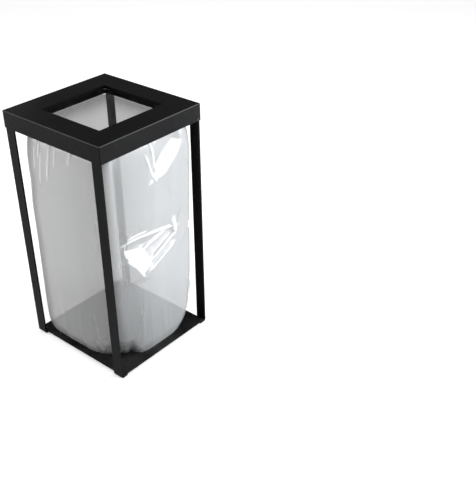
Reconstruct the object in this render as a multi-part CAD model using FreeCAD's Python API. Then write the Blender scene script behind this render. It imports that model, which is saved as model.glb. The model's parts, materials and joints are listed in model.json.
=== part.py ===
import FreeCAD, Part
import math
import os

# Open-frame waste bin with a square bag ring and a hinged lid. Lengths are in millimetres.
# Origin on the floor under the middle of the bin: X to the right of the front, Y to the hinged back, Z up.

# frame
frame_width = 380.0
frame_depth = 374.0
hoop_top = 747.0
bar_width = 33.0
bar_thickness = 5.0
top_bend = 9.0
foot_bend = 7.0
foot_length = 24.0
pad_thickness = 1.5

# base
base_thickness = 3.0
base_gap = 2.2
screw_inset = 16.5
screw_radius = 2.45
screw_head_radius = 4.7

# bag ring
ring_sheet = 2.0
ring_top = 714.0
ring_opening_x = 143.0
ring_opening_y = 144.0
upstand_top = 740.0
upstand_half_foot = 137.0
upstand_half_crest = 110.0
upstand_round = 14.0
lip_bottom = 698.0

# lid
lid_width = 387.0
lid_depth = 378.0
lid_top = 750.0
lid_sheet = 1.5
lid_bend = 2.5
skirt_height = 50.0
lid_opening = 235.0
seam = 0.3
relief_radius = 1.7
inner_frame_width = 310.0
inner_frame_sheet = 1.2
inner_frame_face = 741.8
tongue_half_width = 155.0
tongue_step = 717.3
bumper_radius = 6.0
bumper_gap = 0.1

# hinge
hinge_y = 176.0
hinge_z = 706.0
pin_radius = 2.5
running_gap = 0.05
head_radius = 4.6
head_height = 1.8
washer_radius = 5.5
nut_flats = 8.0
nut_height = 4.0

# bag: height and half width of each level, and the corners' chamfer as a share of the half width
bag_wall = 1.2
bag_chamfer = 0.1
bag_levels = (
    (10.2, 146.0),
    (64.0, 170.0),
    (620.0, 170.0),
    (682.0, 160.0),
    (710.0, 142.3),
    (739.0, 142.3),
)

half_width = frame_width / 2
half_depth = frame_depth / 2
leg_face = half_depth - bar_thickness
base_bottom = pad_thickness + bar_thickness
lid_underside = lid_top - lid_sheet


def vector(x, y, z):
    return FreeCAD.Vector(x, y, z)


def box(low, high):
    size = [b - a for a, b in zip(low, high)]
    return Part.makeBox(size[0], size[1], size[2], vector(*low))


def prism(points, direction):
    """Extrude the closed polygon through points."""
    wire = Part.makePolygon([vector(*p) for p in points] + [vector(*points[0])])
    return Part.Face(wire).extrude(vector(*direction))


def mirrored(shape, axis):
    normal = vector(1, 0, 0) if axis == "x" else vector(0, 1, 0)
    return shape.mirror(vector(0, 0, 0), normal)


def four_corners(shape):
    """The shape in the front right corner, repeated in all four corners."""
    pair = [shape, mirrored(shape, "x")]
    return pair + [mirrored(s, "y") for s in pair]


def edges_at(shape, axis, places, tolerance=0.05):
    """Straight edges along axis whose middle lies on one of the (u, v) places across it."""
    along = "xyz".index(axis)
    across = [i for i in range(3) if i != along]
    found = []
    for edge in shape.Edges:
        if len(edge.Vertexes) != 2:
            continue
        start, end = [v.Point for v in edge.Vertexes]
        run = end - start
        if abs(run[along]) < 0.999 * run.Length or run.Length < 1:
            continue
        u, v = start[across[0]], start[across[1]]
        if any(abs(u - a) < tolerance and abs(v - b) < tolerance for a, b in places):
            found.append(edge)
    return found


def fillet(shape, axis, places, radius):
    return shape.makeFillet(radius, edges_at(shape, axis, places))


def cylinder(radius, start, direction, length):
    return Part.makeCylinder(radius, length, vector(*start), vector(*direction))


def hoop():
    """Right hoop: one flat bar bent into two legs, a top run and two short feet."""
    x0 = half_width - bar_width
    outer, inner = half_depth, leg_face
    bottom, foot_top = pad_thickness, base_bottom
    toe = outer - foot_length
    half = [
        (-toe, bottom), (-outer, bottom), (-outer, hoop_top), (outer, hoop_top), (outer, bottom),
        (toe, bottom), (toe, foot_top), (inner, foot_top), (inner, hoop_top - bar_thickness),
        (-inner, hoop_top - bar_thickness), (-inner, foot_top), (-toe, foot_top),
    ]
    shape = prism([(x0, y, z) for y, z in half], (bar_width, 0, 0))
    sides = (-1, 1)
    shape = fillet(shape, "x", [(s * outer, hoop_top) for s in sides], top_bend)
    shape = fillet(shape, "x", [(s * inner, hoop_top - bar_thickness) for s in sides], top_bend - bar_thickness)
    shape = fillet(shape, "x", [(s * outer, bottom) for s in sides], foot_bend)
    shape = fillet(shape, "x", [(s * inner, foot_top) for s in sides], foot_bend - bar_thickness)
    for hole in screw_holes(screw_radius + running_gap):
        shape = shape.cut(hole)
    return shape


def screw_place():
    return half_width - bar_width / 2, half_depth - screw_inset


def screw_holes(radius):
    x, y = screw_place()
    return four_corners(cylinder(radius, (x, -y, 0), (0, 0, 1), 20))


def foot_pads():
    """Rubber pads under the four feet, a little smaller than the feet."""
    margin = 2.0
    x0 = half_width - bar_width + margin
    low = (x0, -half_depth + foot_bend, 0)
    high = (half_width - margin, -half_depth + foot_length - margin, pad_thickness)
    pad = box(low, high)
    pad = pad.makeFillet(2.0, edges_at(pad, "z", [(x, y) for x in (low[0], high[0]) for y in (low[1], high[1])]))
    names = ("front_right", "front_left", "rear_right", "rear_left")
    return {"foot_pad_" + name: shape for name, shape in zip(names, four_corners(pad))}


def base_plate():
    """Flat base between the legs, resting on the feet, with countersunk screw holes."""
    y = leg_face - base_gap
    top = base_bottom + base_thickness
    corners = [(sx * half_width, sy * y) for sx in (-1, 1) for sy in (-1, 1)]
    plate = box((-half_width, -y, base_bottom), (half_width, y, top))
    plate = fillet(plate, "z", corners, 2.0)
    for hole in screw_holes(screw_radius + running_gap):
        plate = plate.cut(hole)
    for sink in four_corners(countersink(running_gap)):
        plate = plate.cut(sink)
    return plate


def countersink(growth):
    x, y = screw_place()
    top = base_bottom + base_thickness
    depth = screw_head_radius - screw_radius
    cone = Part.makeCone(screw_radius + growth, screw_head_radius + growth, depth, vector(x, -y, top - depth))
    return cone


def base_screws():
    """Countersunk screws that pass through the base into tapped holes in the feet."""
    x, y = screw_place()
    top = base_bottom + base_thickness
    shank = cylinder(screw_radius, (x, -y, pad_thickness + 0.2), (0, 0, 1), top - pad_thickness - 1)
    screw = shank.fuse(countersink(0)).removeSplitter()
    socket = hexagon(3.0, (x, -y, top - 1.6), 2.0)
    return Part.makeCompound(four_corners(screw.cut(socket)))


def hexagon(flats, centre, height, axis="z"):
    """Hexagonal prism with the given width across flats."""
    radius = flats / math.sqrt(3)
    points = []
    for i in range(6):
        u = radius * math.cos(math.radians(60 * i))
        v = radius * math.sin(math.radians(60 * i))
        points.append((u, v, 0) if axis == "z" else (0, u, v))
    direction = (0, 0, height) if axis == "z" else (height, 0, 0)
    shape = prism(points, direction)
    shape.translate(vector(*centre))
    return shape


def upstand(offset, along):
    """One bent-up edge of the ring's opening, with slanted ends rounded at the top."""
    low, high = ring_top - ring_sheet, upstand_top
    outline = [
        (-upstand_half_foot, low), (upstand_half_foot, low), (upstand_half_foot, ring_top),
        (upstand_half_crest, high), (-upstand_half_crest, high), (-upstand_half_foot, ring_top),
    ]
    if along == "y":
        shape = prism([(offset, u, z) for u, z in outline], (ring_sheet, 0, 0))
    else:
        shape = prism([(u, offset, z) for u, z in outline], (0, ring_sheet, 0))
    across = "x" if along == "y" else "y"
    crests = [(side * upstand_half_crest, high) for side in (-1, 1)]
    return fillet(shape, across, crests, upstand_round)


def bag_ring():
    """Sheet ring between the hoops: flat flange, four upstands round the opening, a lip down each side."""
    low = ring_top - ring_sheet
    ring = box((-half_width, -leg_face, low), (half_width, leg_face, ring_top))
    ring = ring.cut(box((-ring_opening_x, -ring_opening_y, low - 1), (ring_opening_x, ring_opening_y, ring_top + 1)))
    for shape in (upstand(ring_opening_x, "y"), upstand(ring_opening_y, "x")):
        ring = ring.fuse(shape)
        ring = ring.fuse(mirrored(shape, "x" if shape.BoundBox.XLength < 10 else "y"))
    lip = box((half_width - ring_sheet, -leg_face, lip_bottom), (half_width, leg_face, ring_top))
    ring = ring.fuse(lip).fuse(mirrored(lip, "x")).removeSplitter()
    sides = (-1, 1)
    bend = 1.5
    ring = fillet(ring, "y", [(s * half_width, ring_top) for s in sides], ring_sheet + bend)
    ring = fillet(ring, "y", [(s * (half_width - ring_sheet), low) for s in sides], bend)
    ring = fillet(ring, "y", [(s * (ring_opening_x + ring_sheet), ring_top) for s in sides], bend)
    ring = fillet(ring, "x", [(s * (ring_opening_y + ring_sheet), ring_top) for s in sides], bend)
    hole = cylinder(pin_radius + running_gap, (0, hinge_y, hinge_z), (1, 0, 0), half_width + 1)
    return ring.cut(hole).cut(mirrored(hole, "x"))


def lid_shell():
    """Folded square cap: top panel with a square opening and four skirts with open corner seams."""
    x, y = lid_width / 2, lid_depth / 2
    bottom = lid_top - skirt_height
    inside = box((-x + lid_sheet, -y + lid_sheet, bottom - 1), (x - lid_sheet, y - lid_sheet, lid_underside))
    lid = box((-x, -y, bottom), (x, y, lid_top)).cut(inside)
    sides = (-1, 1)
    lid = fillet(lid, "y", [(s * x, lid_top) for s in sides], lid_bend)
    lid = fillet(lid, "x", [(s * y, lid_top) for s in sides], lid_bend)
    lid = fillet(lid, "y", [(s * (x - lid_sheet), lid_underside) for s in sides], lid_bend - lid_sheet)
    lid = fillet(lid, "x", [(s * (y - lid_sheet), lid_underside) for s in sides], lid_bend - lid_sheet)
    opening = box((-lid_opening / 2, -lid_opening / 2, lid_underside - 1), (lid_opening / 2, lid_opening / 2, lid_top + 1))
    edge = lid_opening / 2
    opening = fillet(opening, "z", [(a * edge, b * edge) for a in sides for b in sides], 2.0)
    lid = lid.cut(opening)
    for cut in corner_seams(x, y, bottom):
        lid = lid.cut(cut)
    for notch in tongue_notches(x, y, bottom):
        lid = lid.cut(notch)
    hole = cylinder(pin_radius + running_gap, (x - 5, hinge_y, hinge_z), (1, 0, 0), 10)
    return lid.cut(hole).cut(mirrored(hole, "x"))


def corner_seams(x, y, bottom):
    """Thin seams beside the corners of the front and back skirts, each ending in a relief hole."""
    inner = x - lid_sheet
    seam_top = lid_top - lid_bend
    slot = box((inner - seam, -y - 1, bottom - 1), (inner, -y + lid_sheet, seam_top))
    relief = cylinder(relief_radius / 2, (inner - seam / 2, -y - 1, seam_top), (0, 1, 0), lid_sheet + 1)
    return four_corners(slot.fuse(relief))


def tongue_notches(x, y, bottom):
    """Lower corners of the back skirt cut away, so its middle swings between the rear legs."""
    notch = box((tongue_half_width, y - lid_sheet - 0.01, bottom - 1), (x - lid_sheet, y + 1, tongue_step))
    return [notch, mirrored(notch, "x")]


def lid_inner_frame():
    """Square channel under the lid panel, round the opening, that closes over the upstands."""
    outer, edge = inner_frame_width / 2, lid_opening / 2
    low, top = inner_frame_face, lid_underside
    frame = box((-outer, -outer, low), (outer, outer, top))
    frame = frame.cut(box((-edge, -edge, low - 1), (edge, edge, top + 1)))
    web = inner_frame_sheet
    hollow = box((-outer + web, -outer + web, low + web), (outer - web, outer - web, top + 1))
    hollow = hollow.cut(box((-edge - web, -edge - web, low), (edge + web, edge + web, top + 2)))
    frame = frame.cut(hollow)
    sides = (-1, 1)
    corners = [(a * outer, b * outer) for a in sides for b in sides]
    frame = fillet(frame, "z", corners, 1.0)
    return frame


def lid_bumpers():
    """Thin rubber discs under the lid panel that land on the top runs of the hoops."""
    x, y = half_width - bar_width / 2, 150.0
    height = lid_underside - hoop_top - bumper_gap
    bumper = cylinder(bumper_radius, (x, -y, lid_underside - height), (0, 0, 1), height)
    bumper = bumper.makeChamfer(0.4, [e for e in bumper.Edges if e.BoundBox.ZMax < lid_underside - 0.5 and e.Closed])
    names = ("front_right", "front_left", "rear_right", "rear_left")
    return {"lid_bumper_" + name: shape for name, shape in zip(names, four_corners(bumper))}


def hinge_parts():
    """Right hinge: shouldered screw, washer between lip and skirt, nut behind the lip."""
    skirt = lid_width / 2
    centre = (0, hinge_y, hinge_z)
    nut_start = half_width - ring_sheet - nut_height
    shank = cylinder(pin_radius, (nut_start - 1, *centre[1:]), (1, 0, 0), skirt + 0.1 - nut_start + 1)
    head = cylinder(head_radius, (skirt + 0.1, *centre[1:]), (1, 0, 0), head_height)
    rim = [e for e in head.Edges if e.Closed and e.BoundBox.XMin > skirt + head_height - 0.5]
    head = head.makeFillet(0.9, rim)
    socket = hexagon(3.0, (skirt + head_height - 0.9, *centre[1:]), 2.0, "x")
    screw = shank.fuse(head).removeSplitter().cut(socket)
    washer_start = half_width + running_gap
    washer_length = skirt - lid_sheet - running_gap - washer_start
    washer = cylinder(washer_radius, (washer_start, *centre[1:]), (1, 0, 0), washer_length)
    bore = cylinder(pin_radius + running_gap, (100, *centre[1:]), (1, 0, 0), 200)
    nut = hexagon(nut_flats, (nut_start, *centre[1:]), nut_height, "x")
    return {"hinge_screw": screw, "hinge_washer": washer.cut(bore), "hinge_nut": nut.cut(bore)}


def chamfered_square(half, z):
    """Closed square outline with its corners cut at 45 degrees."""
    cut = half * (1 - bag_chamfer)
    ring = [(half, -cut), (half, cut), (cut, half), (-cut, half),
            (-half, cut), (-half, -cut), (-cut, -half), (cut, -half)]
    points = [vector(x, y, z) for x, y in ring]
    return Part.makePolygon(points + points[:1])


def bag():
    """Film bag hanging inside the ring's opening: four walls, four corner strips and a bottom."""
    outer = Part.makeLoft([chamfered_square(half, z) for z, half in bag_levels], True, True)
    cavity = [(half - bag_wall, z + bag_wall) for z, half in bag_levels]
    inner = Part.makeLoft([chamfered_square(half, z) for half, z in cavity], True, True)
    shell = outer.cut(inner)
    floor_level = bag_levels[0][0] + bag_wall
    side = 2 * half_width
    floor_slab = box((-side, -side, 0), (side, side, floor_level))
    walls = shell.cut(floor_slab)
    made = {"bag_bottom": shell.common(floor_slab)}
    edge = math.degrees(math.atan(1 - bag_chamfer))
    sectors = (("bag_right", "bag_corner_rear_right"), ("bag_rear", "bag_corner_rear_left"),
               ("bag_left", "bag_corner_front_left"), ("bag_front", "bag_corner_front_right"))
    for i, (wall, corner) in enumerate(sectors):
        for name, start, end in ((wall, -edge, edge), (corner, edge, 90 - edge)):
            rays = [math.radians(90 * i + angle) for angle in (start, end)]
            reach = [(side * math.cos(ray), side * math.sin(ray), 0) for ray in rays]
            sector = prism([(0, 0, 0)] + reach, (0, 0, hoop_top))
            made[name] = walls.common(sector).removeSplitter()
    return made


def nodes():
    right = hoop()
    made = {
        "right_hoop": right,
        "left_hoop": mirrored(right, "x"),
        "base_plate": base_plate(),
        "base_screws": base_screws(),
        "bag_ring": bag_ring(),
        "lid_shell": lid_shell(),
        "lid_inner_frame": lid_inner_frame(),
    }
    made.update(bag())
    made.update(foot_pads())
    made.update(lid_bumpers())
    for name, shape in hinge_parts().items():
        made[name + "_right"] = shape
        made[name + "_left"] = mirrored(shape, "x")
    return made


os.makedirs("parts", exist_ok=True)
for name, shape in nodes().items():
    shape.exportStep("parts/" + name + ".step")
    box_size = shape.BoundBox
    print(name, shape.isValid(), len(shape.Solids), round(shape.Volume / 1000, 2), "cm3")
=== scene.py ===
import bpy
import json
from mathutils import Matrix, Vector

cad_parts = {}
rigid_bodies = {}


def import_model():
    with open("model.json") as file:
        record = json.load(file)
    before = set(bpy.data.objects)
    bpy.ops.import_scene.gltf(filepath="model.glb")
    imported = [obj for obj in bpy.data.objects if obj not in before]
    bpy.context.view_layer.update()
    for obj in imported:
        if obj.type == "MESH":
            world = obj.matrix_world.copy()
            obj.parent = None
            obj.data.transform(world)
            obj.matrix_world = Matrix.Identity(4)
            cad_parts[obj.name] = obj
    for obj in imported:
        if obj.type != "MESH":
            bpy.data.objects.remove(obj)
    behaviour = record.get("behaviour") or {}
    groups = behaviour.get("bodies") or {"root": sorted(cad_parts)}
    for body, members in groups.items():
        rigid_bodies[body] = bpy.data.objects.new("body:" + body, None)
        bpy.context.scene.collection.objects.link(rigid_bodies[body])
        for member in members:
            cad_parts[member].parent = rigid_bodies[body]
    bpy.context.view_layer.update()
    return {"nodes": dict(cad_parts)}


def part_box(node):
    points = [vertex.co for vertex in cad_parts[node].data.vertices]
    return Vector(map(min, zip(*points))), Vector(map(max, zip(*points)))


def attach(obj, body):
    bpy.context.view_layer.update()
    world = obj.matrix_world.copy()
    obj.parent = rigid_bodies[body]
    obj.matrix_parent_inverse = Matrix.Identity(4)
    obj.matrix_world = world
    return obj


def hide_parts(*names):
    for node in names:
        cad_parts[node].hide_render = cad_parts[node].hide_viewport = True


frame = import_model()

import json
import math
import random

import bpy
from mathutils import Vector, geometry, noise

scene = bpy.context.scene
scene.view_settings.view_transform = "Standard"


# small helpers

def deselect():
    if bpy.context.mode != "OBJECT":
        bpy.ops.object.mode_set(mode="OBJECT")
    bpy.ops.object.select_all(action="DESELECT")


def pick(piece):
    deselect()
    piece.select_set(True)
    bpy.context.view_layer.objects.active = piece


def smooth(start, end, value):       # 0 at start, 1 at end
    t = max(0.0, min(1.0, (value - start) / (end - start)))
    return t * t * (3 - 2 * t)


# shader helpers: a Wire is a socket that can be used in sums

class Wire:
    def __init__(self, paint, socket):
        self.paint = paint
        self.socket = socket

    def math(self, operation, other=None, first=None):
        values = {0: self if first is None else first}
        if other is not None:
            values[1] = other
        return self.paint.node("ShaderNodeMath", {"operation": operation}, values)["Value"]

    def __add__(self, other):
        return self.math("ADD", other)

    __radd__ = __add__

    def __sub__(self, other):
        return self.math("SUBTRACT", other)

    def __rsub__(self, other):
        return self.math("SUBTRACT", self, other)

    def __mul__(self, other):
        return self.math("MULTIPLY", other)

    __rmul__ = __mul__

    def __truediv__(self, other):
        return self.math("DIVIDE", other)

    def __rtruediv__(self, other):
        return self.math("DIVIDE", self, other)


class Paint:
    def __init__(self, name):
        self.material = bpy.data.materials.new(name)
        self.material.use_nodes = True
        self.tree = self.material.node_tree
        self.tree.nodes.clear()
        self.count = 0

    def node(self, kind, settings=None, values=None):
        made = self.tree.nodes.new(kind)
        made.location = (220 * self.count, 0)
        self.count += 1
        for key, value in (settings or {}).items():
            if key == "stops":
                self.setRamp(made.color_ramp, value)
            else:
                setattr(made, key, value)
        for key, value in (values or {}).items():
            target = made.inputs[key]
            if isinstance(value, Wire):
                self.tree.links.new(value.socket, target)
            else:
                target.default_value = value
        return Outputs(self, made)

    def setRamp(self, ramp, stops):
        while len(ramp.elements) < len(stops):
            ramp.elements.new(0.5)
        for element, (place, shade) in zip(ramp.elements, stops):
            element.position = place
            element.color = (shade, shade, shade, 1)

    def finish(self, surface):
        self.node("ShaderNodeOutputMaterial", {}, {"Surface": surface})
        return self.material


class Outputs:
    def __init__(self, paint, made):
        self.paint = paint
        self.made = made

    def __getitem__(self, key):
        return Wire(self.paint, self.made.outputs[key])


def mixColour(paint, factor, first, second):
    # sockets 0, 6, 7 and output 2 are the factor, the two colours and the mixed colour
    return paint.node("ShaderNodeMix", {"data_type": "RGBA"}, {0: factor, 6: first, 7: second})[2]


# powder coat on all the sheet and bar work

powder = {
    "colour": (0.0040, 0.0040, 0.0042, 1),
    # dust colour; level scales it, which also paints the base plate's coat lighter, a painted light
    "dusty": (0.0095, 0.0095, 0.0092, 1),
    # lighter colour of the lid's bends: wear and a painted highlight
    "worn": (0.075, 0.075, 0.074, 1),
    "peelSize": 1.6,            # mm between the bumps of the orange peel
    "peelHeight": 0.00006,
    "fineScale": 2400.0,
    "cloudScale": 9.0,
    "speckScale": 260.0,
    "gloss": 0.25,              # roughness
    "shine": 0.035,             # specular level
    "bendWidth": 0.0026,        # lighter strip along the lid's folded edges: wear and a painted highlight on the bends
    "bendFade": 0.0016,
}


def past(value, limit):       # 0 before the limit, 1 a little past it
    return ((value - limit) / powder["bendFade"]).math("MAXIMUM", 0.0).math("MINIMUM", 1.0)


# mask of the lid's folded edges, where the coat is painted lighter: wear and a painted highlight on the bends
def lidBendWearAndSheen(paint, place):
    edge = [side - powder["bendWidth"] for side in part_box("lid_shell")[1]]
    parts = paint.node("ShaderNodeSeparateXYZ", {}, {"Vector": place})
    across = past(parts["X"].math("ABSOLUTE"), edge[0])
    along = past(parts["Y"].math("ABSOLUTE"), edge[1])
    return past(parts["Z"], edge[2]) * across.math("MAXIMUM", along)


def powderCoat(name, dust, level, rougher=0.0, bendWearAndSheen=None):
    paint = Paint(name)
    place = paint.node("ShaderNodeTexCoord")["Object"]
    peel = paint.node("ShaderNodeTexNoise", {"noise_dimensions": "3D"}, {
        "Vector": place, "Scale": 1000 / powder["peelSize"], "Detail": 2.0, "Roughness": 0.5})["Fac"]
    fine = paint.node("ShaderNodeTexNoise", {}, {
        "Vector": place, "Scale": powder["fineScale"], "Detail": 1.0})["Fac"]
    cloud = paint.node("ShaderNodeTexNoise", {}, {
        "Vector": place, "Scale": powder["cloudScale"], "Detail": 5.0, "Roughness": 0.6})["Fac"]
    specks = paint.node("ShaderNodeTexVoronoi", {"feature": "F1"}, {
        "Vector": place, "Scale": powder["speckScale"]})["Distance"]
    speck = paint.node("ShaderNodeValToRGB", {"stops": [(0.0, 1.0), (0.07, 0.0)]}, {"Fac": specks})["Color"]
    haze = paint.node("ShaderNodeValToRGB", {"stops": [(0.35, 0.0), (0.75, 1.0)]}, {"Fac": cloud})["Color"]
    # level scales the dust colour: painted light where it lightens the base plate's coat
    dusty = [shade * level for shade in powder["dusty"][:3]] + [1]
    colour = mixColour(paint, haze * dust + speck * (0.25 * dust), powder["colour"], dusty)
    if bendWearAndSheen:
        # the lid's bends painted lighter: wear and a painted highlight
        colour = mixColour(paint, bendWearAndSheen(paint, place) * (0.55 + 0.45 * cloud), colour, powder["worn"])
    bump = paint.node("ShaderNodeBump", {}, {
        "Height": peel * 0.8 + fine * 0.2, "Strength": 0.35, "Distance": powder["peelHeight"]})["Normal"]
    rough = powder["gloss"] + rougher + (cloud - 0.5) * 0.16 + (fine - 0.5) * 0.05
    surface = paint.node("ShaderNodeBsdfPrincipled", {}, {
        "Base Color": colour, "Roughness": rough, "Normal": bump,
        "Specular IOR Level": powder["shine"], "Metallic": 0.0})["BSDF"]
    return paint.finish(surface)


# small hardware

zinc = {
    "colour": (0.02, 0.02, 0.021, 1),
    "worn": (0.09, 0.088, 0.085, 1),
    "grainScale": 700.0,
    "roughness": 0.3,
}
rubber = {"shade": 0.012, "grainScale": 420.0, "roughness": 0.75}
nylon = {"shade": 0.02, "grainScale": 900.0, "roughness": 0.5}


def zincBlack(name):
    paint = Paint(name)
    place = paint.node("ShaderNodeTexCoord")["Object"]
    grain = paint.node("ShaderNodeTexNoise", {}, {
        "Vector": place, "Scale": zinc["grainScale"], "Detail": 3.0})["Fac"]
    wear = paint.node("ShaderNodeValToRGB", {"stops": [(0.55, 0.0), (0.8, 1.0)]}, {"Fac": grain})["Color"]
    colour = mixColour(paint, wear * 0.6, zinc["colour"], zinc["worn"])
    bump = paint.node("ShaderNodeBump", {}, {"Height": grain, "Strength": 0.25, "Distance": 0.00005})["Normal"]
    surface = paint.node("ShaderNodeBsdfPrincipled", {}, {
        "Base Color": colour, "Roughness": zinc["roughness"] + grain * 0.2, "Normal": bump,
        "Metallic": 0.85})["BSDF"]
    return paint.finish(surface)


def softBlack(name, look):
    paint = Paint(name)
    place = paint.node("ShaderNodeTexCoord")["Object"]
    grain = paint.node("ShaderNodeTexNoise", {}, {
        "Vector": place, "Scale": look["grainScale"], "Detail": 4.0})["Fac"]
    shade = look["shade"]
    colour = mixColour(paint, grain, (shade, shade, shade, 1), (shade * 2.2, shade * 2.2, shade * 2.1, 1))
    bump = paint.node("ShaderNodeBump", {}, {"Height": grain, "Strength": 0.4, "Distance": 0.0001})["Normal"]
    surface = paint.node("ShaderNodeBsdfPrincipled", {}, {
        "Base Color": colour, "Roughness": look["roughness"] + grain * 0.15, "Normal": bump,
        "Specular IOR Level": 0.35})["BSDF"]
    return paint.finish(surface)


coats = {
    # lid, frame and base share one black powder coat; level 3.6 makes the base plate's copy lighter, a painted
    # light, and the frame's copy shows almost no dust
    "lid": powderCoat("powderLid", dust=0.5, level=1.0, bendWearAndSheen=lidBendWearAndSheen),
    "frame": powderCoat("powderFrame", dust=0.35, level=0.4, rougher=0.04),
    "base": powderCoat("powderBase", dust=0.9, level=3.6, rougher=-0.04),
    "screw": zincBlack("zincScrew"),
    "rubber": softBlack("rubberPad", rubber),
    "nylon": softBlack("nylonWasher", nylon),
}

# the first start of a node's name that fits gives its coat
coatOf = (
    ("lid_bumper", "rubber"), ("foot_pad", "rubber"), ("lid_", "lid"), ("base_plate", "base"),
    ("left_hoop", "frame"), ("right_hoop", "frame"), ("bag_ring", "frame"), ("base_screws", "screw"),
    ("hinge_washer", "nylon"), ("hinge_", "screw"),
)

for name in frame["nodes"]:
    for start, kind in coatOf:
        if name.startswith(start):
            for place in bpy.data.objects[name].material_slots:
                place.material = coats[kind]
            break
print("coats on the CAD nodes")


# bag of milky film, folded over the upstands

bag = {
    "columns": (148, 54, 54, 100),      # points across the right, back, left and front
    "seed": 11,
    "flatWidth": 1.34,          # girth of the tube
    "flatLength": 0.90,
    "cuff": 0.021,              # film that hangs down outside the upstands
    "gap": 0.0006,              # film above the upstands' edge
    "frill": 0.0030,            # how far the cuff's free edge waves out, and up and down
    "frillDrop": 0.0040,
    "wave": 0.0040,             # slow swell of the sides
    "ripple": 0.0010,
    "bottomRings": 24,
    "bottomRipple": 0.0007,
    "clings": (0.717, 0.711),   # heights between which the film leaves the upstands
    "free": (0.706, 0.660),     # heights between which its sides come free of the ring
    "pleated": (0.610, 0.705),
    "tucked": (0.110, 0.014),   # heights between which the near corner is drawn in
    "tucks": ((-0.82, 0.30, 0.024), (-0.58, 0.08, 0.015), (-1.20, 0.06, 0.003)),    # angle, width, depth
    "haze": 0.63,               # opacity of one layer
    "tight": 0.05,              # opacity where the film lies on the metal
    "pleatHaze": 0.20,
    "creaseHaze": 0.18,
    "unevenHaze": 0.03,
    # the film's bottom is painted darker, painted shade
    "bottomTone": 0.8,
    "clearNear": 0.31,          # painted shade: how much darker the film is near the front right corner
    "clearLow": 0.12,           # and how much darker low on the right, painted shade
    "underRing": 0.706,         # height just below the ring's flange
    "ringSteps": (              # above this height, this far from ring to ring
        (0.70, 0.0030), (0.54, 0.0024), (0.45, 0.0048), (0.27, 0.0024), (0.06, 0.0048), (0.0, 0.0026)),
}

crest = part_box("bag_ring")[1][2]
bagNodes = [name for name in frame["nodes"] if name.startswith("bag_") and name != "bag_ring"]
insideOut = -1.0        # crease value that marks the cuff, which shows the film's other face

# height, distance of the right, back, left and front sides from the middle,
# then corner radii: front right, back right, back left, front left
levels = (
    (0.7405, 0.1422, 0.1422, 0.1422, 0.1422, 0.034, 0.034, 0.034, 0.034),
    (0.7250, 0.1422, 0.1422, 0.1422, 0.1422, 0.030, 0.030, 0.030, 0.030),
    (0.7120, 0.1420, 0.1420, 0.1420, 0.1420, 0.026, 0.026, 0.026, 0.026),
    (0.7000, 0.1640, 0.1540, 0.1470, 0.1480, 0.026, 0.026, 0.026, 0.026),
    (0.6860, 0.1686, 0.1660, 0.1540, 0.1570, 0.026, 0.022, 0.026, 0.026),
    (0.6600, 0.1695, 0.1710, 0.1590, 0.1610, 0.026, 0.022, 0.026, 0.026),
    (0.6200, 0.1705, 0.1740, 0.1630, 0.1640, 0.027, 0.022, 0.027, 0.027),
    (0.5300, 0.1705, 0.1720, 0.1650, 0.1650, 0.027, 0.026, 0.028, 0.028),
    (0.4600, 0.1705, 0.1705, 0.1690, 0.1690, 0.028, 0.028, 0.028, 0.028),
    (0.3200, 0.1700, 0.1690, 0.1690, 0.1690, 0.030, 0.030, 0.030, 0.026),
    (0.2000, 0.1700, 0.1670, 0.1700, 0.1700, 0.034, 0.036, 0.034, 0.024),
    (0.1300, 0.1700, 0.1650, 0.1700, 0.1700, 0.046, 0.046, 0.040, 0.022),
    (0.0800, 0.1700, 0.1620, 0.1700, 0.1695, 0.062, 0.054, 0.046, 0.022),
    (0.0500, 0.1700, 0.1590, 0.1695, 0.1685, 0.080, 0.070, 0.050, 0.024),
    (0.0300, 0.1695, 0.1550, 0.1680, 0.1665, 0.098, 0.080, 0.054, 0.028),
    (0.0180, 0.1685, 0.1500, 0.1650, 0.1640, 0.112, 0.088, 0.058, 0.034),
    (0.0112, 0.1660, 0.1440, 0.1600, 0.1600, 0.124, 0.096, 0.062, 0.040),
)


def levelAt(height):
    for upper, lower in zip(levels, levels[1:]):
        if height >= lower[0]:
            t = (upper[0] - height) / (upper[0] - lower[0])
            mixed = [u + (v - u) * t for u, v in zip(upper[1:], lower[1:])]
            return mixed[:4], mixed[4:]
    return levels[-1][1:5], levels[-1][5:]


def softLevel(height):       # the levels with their kinks rounded off
    top = bag["underRing"] - 0.002
    span = max(0.0, min(0.014, top - height, height - levels[-1][0]))
    near = [levelAt(height + span * i / 3) for i in range(-3, 4)]
    return [[sum(level[part][i] for level in near) / len(near) for i in range(4)] for part in (0, 1)]


# a ring round the bag: sides are 0 right, 1 back, 2 left and 3 front, and share runs anticlockwise
# seen from above, one unit to a side
def outline(share, reach, rounds):
    side = int(share) % 4
    start, end = rounds[side], rounds[(side + 1) % 4]
    here, behind, ahead = reach[side], reach[side - 1], reach[(side + 1) % 4]
    straight = behind + ahead - start - end
    before, after = start * math.pi / 4, end * math.pi / 4
    walk = (share - int(share)) * (before + straight + after)
    if walk < before:
        angle = (walk / before - 1) * math.pi / 4
        x, y = here - start + start * math.cos(angle), -behind + start + start * math.sin(angle)
    elif walk < before + straight:
        angle = 0.0
        x, y = here, -behind + start + walk - before
    else:
        angle = (walk - before - straight) / after * math.pi / 4
        x, y = here - end + end * math.cos(angle), ahead - end + end * math.sin(angle)
    nx, ny = math.cos(angle), math.sin(angle)
    for _ in range(side):
        x, y, nx, ny = -y, x, -ny, nx
    return x, y, nx, ny


def sideOf(x, y):
    if abs(x) >= abs(y):
        return (0, y) if x > 0 else (2, -y)
    return (1, -x) if y > 0 else (3, x)


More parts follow.
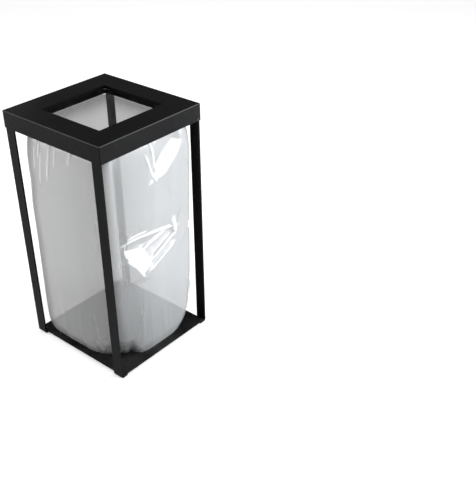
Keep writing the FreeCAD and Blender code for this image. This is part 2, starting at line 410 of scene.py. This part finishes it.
# sharp folds: side, start and end as (across, height), half width and rise of the fold
folds = [
    (3, (-0.1085, 0.656), (-0.1150, 0.592), 0.0034, 0.0016),
    (3, (-0.0870, 0.680), (-0.0950, 0.630), 0.0034, 0.0022),
    (3, (-0.0820, 0.640), (-0.0975, 0.552), 0.0034, 0.0022),
    (3, (-0.0420, 0.688), (-0.0630, 0.572), 0.0036, 0.0026),
    (3, (-0.0225, 0.670), (-0.0285, 0.620), 0.0032, 0.0018),
    (3, (0.0400, 0.690), (0.0300, 0.640), 0.0060, 0.0012),
    (0, (-0.0110, 0.652), (0.0180, 0.574), 0.0040, 0.0030),
    (0, (0.0060, 0.694), (0.0290, 0.598), 0.0050, 0.0038),
    (0, (0.0280, 0.600), (0.0210, 0.568), 0.0050, 0.0024),
    (0, (-0.1140, 0.420), (0.0860, 0.396), 0.0042, 0.0042),
    (0, (-0.0920, 0.428), (-0.0240, 0.423), 0.0036, 0.0026),
    (0, (0.0500, 0.392), (-0.0600, 0.362), 0.0048, 0.0036),
    (0, (0.0880, 0.378), (-0.0100, 0.330), 0.0050, 0.0040),
    (0, (0.0740, 0.346), (-0.0300, 0.300), 0.0046, 0.0036),
    (0, (0.0860, 0.424), (0.0850, 0.380), 0.0070, 0.0040),
    (0, (-0.1120, 0.420), (-0.1050, 0.372), 0.0044, 0.0034),
    (0, (-0.1030, 0.360), (-0.0800, 0.334), 0.0040, 0.0018),
    (0, (-0.0760, 0.330), (-0.0550, 0.294), 0.0044, 0.0022),
    (0, (0.1500, 0.384), (0.1460, 0.362), 0.0050, 0.0030),
]

# faint folds near the bottom
faintFolds = [
    (0, (-0.0520, 0.240), (-0.0720, 0.060), 0.0070, 0.0011),
    (0, (-0.0640, 0.160), (-0.1000, 0.060), 0.0060, 0.0011),
    (0, (-0.0300, 0.170), (-0.0360, 0.040), 0.0060, 0.0008),
    (0, (0.0200, 0.150), (0.0260, 0.040), 0.0080, 0.0007),
    (3, (0.0740, 0.190), (0.1000, 0.092), 0.0060, 0.0010),
    (3, (0.0560, 0.150), (0.0700, 0.050), 0.0070, 0.0009),
    (3, (-0.0200, 0.120), (-0.0200, 0.030), 0.0080, 0.0006),
]

# flat facets pressed into a side: side, then (across, height, push) points
dents = [
    (0, [(-0.140, 0.440, 0), (-0.060, 0.470, 0), (0.060, 0.462, 0), (0.120, 0.446, 0), (0.128, 0.360, 0),
         (0.080, 0.296, 0), (-0.005, 0.268, 0), (-0.060, 0.258, 0), (-0.112, 0.290, 0), (-0.145, 0.360, 0),
         (-0.113, 0.418, -0.003), (-0.100, 0.399, -0.015), (-0.042, 0.388, -0.017), (-0.008, 0.380, -0.015),
         (0.065, 0.394, -0.008), (0.087, 0.376, 0.003), (0.073, 0.342, 0.006), (0.022, 0.322, 0.007),
         (-0.004, 0.310, 0.008), (-0.055, 0.291, 0.011), (-0.078, 0.335, 0.003), (-0.106, 0.362, -0.004)]),
    (0, [(-0.010, 0.560, 0), (0.010, 0.500, 0), (0.085, 0.490, 0), (0.160, 0.540, 0), (0.166, 0.670, 0),
         (0.120, 0.704, 0), (0.050, 0.700, 0), (0.000, 0.640, 0),
         (0.030, 0.612, -0.010), (0.065, 0.644, -0.012), (0.097, 0.668, -0.010), (0.022, 0.568, 0.001),
         (0.062, 0.580, 0.004), (0.110, 0.624, 0.004), (0.132, 0.656, 0.002)]),
]

# painted highlight, a nearly white patch on the film: side and outline
highlightPatches = [
    (0, [(-0.110, 0.398), (-0.100, 0.360), (-0.062, 0.298), (-0.014, 0.317), (-0.031, 0.374)]),
]

creasing = {
    "reach": 2.6,            # a fold is worked out this many half widths to each side
    "ends": 0.12,            # share of a fold's length over which each end fades in and out
    "sharp": 0.0024,         # a fold this high is fully creased
    "narrow": 1.2,           # how much narrower the crease is than its fold
    "patchEdge": 0.006,
    "patchWhite": 1.5,
    "dentStep": 0.002,       # spacing of a dent's grid
}


def highlightPatchAt(side, across, height):
    most = 0.0
    for patchSide, points in highlightPatches:
        if patchSide != side:
            continue
        insets = []
        for a, b in zip(points, points[1:] + points[:1]):
            dx, dz = b[0] - a[0], b[1] - a[1]
            insets.append((dx * (height - a[1]) - dz * (across - a[0])) / math.hypot(dx, dz))
        most = max(most, smooth(0.0, creasing["patchEdge"], min(insets)))
    return most * (0.92 + 0.3 * noise.noise(Vector((across * 60, height * 25, 2.0))))


def softened(grid):       # each value averaged with its neighbours
    columns, rows = len(grid), len(grid[0])
    return [[sum(grid[max(0, min(columns - 1, i + u))][max(0, min(rows - 1, j + v))]
                 for u in (-1, 0, 1) for v in (-1, 0, 1)) / 9
             for j in range(rows)] for i in range(columns)]


def dentGrid(points):       # one dent's facets as a map of pushes on a fine grid
    step = creasing["dentStep"]
    flat = [Vector((across, height)) for across, height, _ in points]
    spots, _, triangles, origins, _, _ = geometry.delaunay_2d_cdt(flat, [], [], 0, 1e-7)
    pushes = [points[origin[0]][2] for origin in origins]
    low = [min(p[i] for p in points) for i in (0, 1)]
    size = [int((max(p[i] for p in points) - low[i]) / step) + 2 for i in (0, 1)]
    grid = [[0.0] * size[1] for _ in range(size[0])]
    for triangle in triangles:
        corners = a, b, c = [spots[i] for i in triangle]
        area = (b - a).cross(c - a)
        first = [max(0, int((min(p[i] for p in corners) - low[i]) / step)) for i in (0, 1)]
        last = [min(size[i] - 1, int((max(p[i] for p in corners) - low[i]) / step) + 1) for i in (0, 1)]
        for i in range(first[0], last[0] + 1):
            for j in range(first[1], last[1] + 1):
                p = Vector((low[0] + i * step, low[1] + j * step))
                shares = [(b - p).cross(c - p) / area, (c - p).cross(a - p) / area, (a - p).cross(b - p) / area]
                if min(shares) >= -0.001:
                    grid[i][j] = sum(share * pushes[k] for share, k in zip(shares, triangle))
    return low, size, softened(grid)


dentGrids = [(side, *dentGrid(points)) for side, points in dents]


def dentAt(side, across, height):
    push = 0.0
    for dentSide, low, size, grid in dentGrids:
        if dentSide != side:
            continue
        u, v = (across - low[0]) / creasing["dentStep"], (height - low[1]) / creasing["dentStep"]
        i, j = int(math.floor(u)), int(math.floor(v))
        if 0 <= i < size[0] - 1 and 0 <= j < size[1] - 1:
            u, v = u - i, v - j
            push += (grid[i][j] * (1 - u) * (1 - v) + grid[i + 1][j] * u * (1 - v)
                     + grid[i][j + 1] * (1 - u) * v + grid[i + 1][j + 1] * u * v)
    return push


def foldAt(chosen, side, across, height):      # how far the folds push out here, and how creased the film is, which also paints a highlight along the fold
    push = crease = 0.0
    ends = creasing["ends"]
    for foldSide, start, end, width, rise in chosen:
        if foldSide != side:
            continue
        dx, dz = end[0] - start[0], end[1] - start[1]
        run = math.hypot(dx, dz)
        off = ((across - start[0]) * dz - (height - start[1]) * dx) / run
        if abs(off) > width * creasing["reach"]:
            continue
        t = ((across - start[0]) * dx + (height - start[1]) * dz) / (run * run)
        if -ends < t < 1 + ends:
            fade = min(1.0, (t + ends) / (2 * ends), (1 + ends - t) / (2 * ends))
            push += rise * fade * math.exp(-(off / width) ** 2)
            sharp = min(1.0, rise / creasing["sharp"])
            crease = max(crease, fade * math.exp(-(off / width * creasing["narrow"]) ** 2) * sharp)
    return push, crease


def gatherFolds(seed):
    rng = random.Random(seed)
    top = bag["underRing"]
    made = []
    for side in range(4):
        for count in range(7):       # short pleats below the ring
            across = -0.120 + 0.040 * count + rng.uniform(-0.012, 0.012)
            length = rng.uniform(0.03, 0.09)
            lean = rng.uniform(-0.014, 0.014)
            rise = rng.uniform(0.0006, 0.0014) * (1.4 if side in (1, 2) else 0.30)
            made.append((side, (across, top), (across + lean, top - length),
                         rng.uniform(0.004, 0.007), rise))
        for count in range(5):       # gathers above the bottom
            across = rng.uniform(-0.12, 0.12)
            made.append((side, (across, rng.uniform(0.09, 0.17)), (across * 0.92, 0.03),
                         rng.uniform(0.005, 0.009), rng.uniform(0.0003, 0.0009)))
        if side in (1, 2):       # soft creases on the back and left
            for count in range(8):
                across, height = rng.uniform(-0.12, 0.10), rng.uniform(0.22, 0.62)
                made.append((side, (across, height),
                             (across + rng.uniform(-0.09, 0.09), height - rng.uniform(0.02, 0.14)),
                             rng.uniform(0.008, 0.018), rng.uniform(0.0012, 0.0030)))
    return made


def heightSteps():       # heights of the rings, closer together where the folds are
    height, steps = crest - 0.002, []
    lowest = levels[-1][0]
    while height > lowest + 0.0008:
        steps.append(height)
        height -= next(step for above, step in bag["ringSteps"] if height > above)
    return steps + [lowest]


# painted shade: the film's colour is darker near the front right corner and low on the right side
def paintedShadeAt(x, y, height):
    if x > abs(y):
        near = smooth(-0.10, 0.34, x - y) * smooth(0.06, -0.13, y)
        return 1.0 - bag["clearNear"] * near - bag["clearLow"] * smooth(0.30, 0.05, height)
    return 1.0 - bag["clearNear"] * smooth(-0.06, 0.17, x)


# each ring below is a list of points: x, y, z, haze, crease, painted shade

def cuffRings(shares):       # the rim folded outwards over the upstands
    rim = crest + bag["gap"]
    profile = []             # height, half width and corner radius, from the free edge up and over
    for i in range(9):
        t = i / 8
        profile.append((rim - bag["cuff"] * (1 - t) - 0.0008 * t, 0.1466 - 0.0009 * t, 0.012 + 0.020 * t))
    profile += [(rim + 0.0001, 0.1452, 0.034), (rim + 0.0004, 0.1440, 0.035), (rim + 0.0001, 0.1428, 0.034)]
    rings = []
    for index, (height, half, turn) in enumerate(profile):
        flare = max(0.0, 1 - index / 6) ** 2
        ring = []
        for share in shares:
            x, y, nx, ny = outline(share, [half] * 4, [turn] * 4)
            out = bag["frill"] * flare * (0.5 + 0.5 * noise.noise(Vector((x * 30, y * 30, 1.7))))
            drop = bag["frillDrop"] * flare * noise.noise(Vector((x * 18, y * 18, 5.1)))
            ring.append((x + nx * out, y + ny * out, height + drop, bag["tight"] * 4, insideOut, 1.0))
        rings.append(ring)
    return rings


def wallRings(shares):
    softFolds = faintFolds + gatherFolds(bag["seed"])
    rings = []
    for height in heightSteps():
        reach, rounds = softLevel(height)
        free = smooth(*bag["free"], height)
        tucked = smooth(*bag["tucked"], height)
        loose = smooth(*bag["clings"], height)
        pleat = smooth(*bag["pleated"], height)
        ring = []
        for share in shares:
            x, y, nx, ny = outline(share, reach, rounds)
            side, across = sideOf(x, y)
            wave = bag["wave"] * noise.noise(Vector((x * 8 + 3, y * 8, height * 2.2)))
            wave += bag["ripple"] * noise.noise(Vector((x * 26, y * 26 + 7, height * 6)))
            push = wave * free
            crease = 0.0
            if height < bag["underRing"] + 0.002:
                rise, crease = foldAt(folds, side, across, height)
                push += foldAt(softFolds, side, across, height)[0] + dentAt(side, across, height) + rise
                # painted highlight: the patches whiten the film through its crease value
                crease = max(crease, creasing["patchWhite"] * highlightPatchAt(side, across, height))
            around = math.atan2(y, x)
            for angle, width, depth in bag["tucks"]:
                push -= depth * tucked * math.exp(-((around - angle) / width) ** 2)
            thick = bag["haze"] + bag["pleatHaze"] * pleat ** 2 + bag["creaseHaze"] * crease
            thick += bag["unevenHaze"] * noise.noise(Vector((x * 10, y * 10, height * 3)))
            haze = bag["tight"] + (thick - bag["tight"]) * loose
            ring.append((x + nx * push, y + ny * push, height, haze, crease, paintedShadeAt(x, y, height)))
        rings.append(ring)
    return rings


def bottomRings(edge, middle):       # flat bottom, gathered towards its middle
    rings = []
    for step in range(1, bag["bottomRings"]):
        t = 1 - step / bag["bottomRings"]
        lift = bag["bottomRipple"] * smooth(0.0, 0.3, t) * smooth(1.0, 0.8, t)
        ring = []
        for index, p in enumerate(edge):
            angle = 2 * math.pi * index / len(edge)
            height = levels[-1][0] + lift * (1 + math.sin(angle * 17 + 3 * t))
            ring.append((middle.x + (p[0] - middle.x) * t, middle.y + (p[1] - middle.y) * t, height,
                         bag["haze"], 0.0, bag["bottomTone"]))
        rings.append(ring)
    return rings


def makeBag():
    shares = [side + i / count for side, count in enumerate(bag["columns"]) for i in range(count)]
    rings = cuffRings(shares) + wallRings(shares)
    edge = rings[-1]
    middle = Vector((sum(p[0] for p in edge), sum(p[1] for p in edge))) / len(edge)
    rings += bottomRings(edge, middle)
    points = [p for ring in rings for p in ring]
    points.append((middle.x, middle.y, levels[-1][0] + 0.0004, bag["haze"], 0.0, bag["bottomTone"]))
    count = len(shares)
    faces = []
    for r in range(len(rings) - 1):
        for i in range(count):
            a, b = r * count + i, r * count + (i + 1) % count
            faces.append((a, a + count, b + count, b))
    last = (len(rings) - 1) * count
    faces += [(last + (i + 1) % count, last + i, len(points) - 1) for i in range(count)]
    mesh = bpy.data.meshes.new("bagFilm")
    mesh.from_pydata([p[:3] for p in points], [], faces)
    mesh.update()
    for index, name in enumerate(("filmHaze", "filmFold", "filmTone")):
        values = [p[3 + index] for p in points]
        mesh.attributes.new(name, "FLOAT", "POINT").data.foreach_set("value", values)
    piece = bpy.data.objects.new("bagFilm", mesh)
    scene.collection.objects.link(piece)
    pick(piece)
    bpy.ops.object.shade_smooth()
    return piece


film = {
    "tint": (0.31, 0.315, 0.318, 1),
    "milk": (0.345, 0.35, 0.353, 1),
    # near-white of the creases: partly creased film, partly a painted highlight
    "crease": (0.97, 0.97, 0.97, 1),
    "creaseShare": 0.55,
    # the film's inner face painted much darker than its outer face: painted shade inside the bag
    "inside": (0.06, 0.06, 0.058, 1),
    "insideRoughness": 0.45,
    "roughness": 0.17,
    "streaks": (11.0, 11.0, 1.8),       # long up the bag
}


def filmMaterial():
    paint = Paint("milkyFilm")
    place = paint.node("ShaderNodeTexCoord")["Object"]
    haze = paint.node("ShaderNodeAttribute", {"attribute_name": "filmHaze"})["Fac"]
    fold = paint.node("ShaderNodeAttribute", {"attribute_name": "filmFold"})["Fac"]
    paintedShade = paint.node("ShaderNodeAttribute", {"attribute_name": "filmTone"})["Fac"]
    inner = paint.node("ShaderNodeNewGeometry")["Backfacing"]
    stretched = paint.node("ShaderNodeMapping", {}, {"Vector": place, "Scale": film["streaks"]})["Vector"]
    cloud = paint.node("ShaderNodeTexNoise", {}, {
        "Vector": stretched, "Scale": 1.0, "Detail": 3.0, "Roughness": 0.5})["Fac"]
    alpha = haze + (cloud - 0.5) * 0.05
    milky = mixColour(paint, cloud, film["tint"], film["milk"])
    # painted shade: the attribute darkens the film towards black
    plain = mixColour(paint, paintedShade, (0.0, 0.0, 0.0, 1), milky)
    # the crease value mixes in near-white: creased film, and a painted highlight along folds and on the patches
    colour = mixColour(paint, fold * film["creaseShare"], plain, film["crease"])
    bump = paint.node("ShaderNodeBump", {}, {"Height": cloud, "Strength": 0.10, "Distance": 0.0005})["Normal"]
    outside = paint.node("ShaderNodeBsdfPrincipled", {}, {
        "Base Color": colour, "Roughness": film["roughness"] + cloud * 0.08, "Alpha": alpha,
        "Normal": bump, "Specular IOR Level": 0.5})["BSDF"]
    # inner face of the same film with a painted shade colour
    inside = paint.node("ShaderNodeBsdfPrincipled", {}, {
        "Base Color": film["inside"], "Roughness": film["insideRoughness"], "Alpha": alpha,
        "Specular IOR Level": 0.1})["BSDF"]
    notCuff = fold.math("GREATER_THAN", insideOut / 2)
    surface = paint.node("ShaderNodeMixShader", {}, {0: inner * notCuff, 1: outside, 2: inside})["Shader"]
    return paint.finish(surface)


bagFilm = makeBag()
bagFilm.data.materials.append(filmMaterial())
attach(bagFilm, "frame")
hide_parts(*bagNodes)
print("bag film", len(bagFilm.data.vertices), "points")


# studio

studio = {
    "floorSize": 40,
    "floorColour": (0.80, 0.80, 0.80, 1),
    "floorShade": (0.77, 0.77, 0.77, 1),
    "floorGlow": 0.36,
    "world": 0.20,
    "sun": 1.5,
    "sunAngle": 80,             # degrees
    "middle": (0, 0, 0.4),      # what the lamps face
    "lamps": [
        # name, direction from the bin, distance, size, power, colour
        ("sideSoftbox", (0.88, 0.47, 0.10), 3.0, (1.9, 1.0), 145, (0.93, 0.97, 1.0)),
        ("frontSoftbox", (-0.70, -0.70, 0.16), 3.2, (1.2, 1.6), 38, (1.0, 0.98, 0.94)),
        ("backSoftbox", (-0.83, 0.38, 0.33), 3.4, (0.8, 0.8), 1.0, (1, 1, 1)),
        ("frontEdgeLight", (-0.624, -0.508, 0.594), 3.0, (0.8, 0.8), 24, (1, 1, 1)),
        ("rightEdgeLight", (0.507, 0.594, 0.623), 3.0, (0.7, 0.7), 20, (1, 1, 1)),
    ],
}

bpy.ops.mesh.primitive_plane_add(size=studio["floorSize"], location=(0, 0, 0))
floor = bpy.context.object
floor.name = "floor"
floorPaint = Paint("paleFloor")
floorPlace = floorPaint.node("ShaderNodeTexCoord")["Object"]
floorCloud = floorPaint.node("ShaderNodeTexNoise", {}, {"Vector": floorPlace, "Scale": 3.0})["Fac"]
floorColour = mixColour(floorPaint, floorCloud * 0.2, studio["floorColour"], studio["floorShade"])
floorSurface = floorPaint.node("ShaderNodeBsdfPrincipled", {}, {
    "Base Color": floorColour, "Roughness": 0.9, "Specular IOR Level": 0.1,
    "Emission Color": (1, 1, 1, 1), "Emission Strength": studio["floorGlow"]})["BSDF"]
floor.data.materials.append(floorPaint.finish(floorSurface))

world = bpy.data.worlds.new("studioWorld")
scene.world = world
world.use_nodes = True
world.node_tree.nodes["Background"].inputs["Color"].default_value = (1, 1, 1, 1)
world.node_tree.nodes["Background"].inputs["Strength"].default_value = studio["world"]

bpy.ops.object.light_add(type="SUN", location=(0, 0, 4))
sun = bpy.context.object
sun.name = "overheadLight"
sun.data.energy = studio["sun"]
sun.data.angle = math.radians(studio["sunAngle"])

for name, heading, distance, size, power, colour in studio["lamps"]:
    heading = Vector(heading).normalized()
    bpy.ops.object.light_add(type="AREA", location=Vector(studio["middle"]) + heading * distance)
    lamp = bpy.context.object
    lamp.name = name
    lamp.data.shape = "RECTANGLE"
    lamp.data.size, lamp.data.size_y = size
    lamp.data.energy = power
    lamp.data.color = colour
    lamp.rotation_euler = heading.to_track_quat("Z", "Y").to_euler()
    lamp.visible_camera = False
print("studio")

view = {
    "place": (1.62809, -1.39435, 1.59437),
    "turn": (58.1763, 0.1836, 39.3078),        # degrees
    "lens": 58.69,
    "sensor": 36,
}

bpy.ops.object.camera_add(location=view["place"])
camera = bpy.context.object
camera.name = "camera"
camera.rotation_euler = [math.radians(a) for a in view["turn"]]
camera.data.lens = view["lens"]
camera.data.sensor_width = view["sensor"]
scene.camera = camera
print("camera")
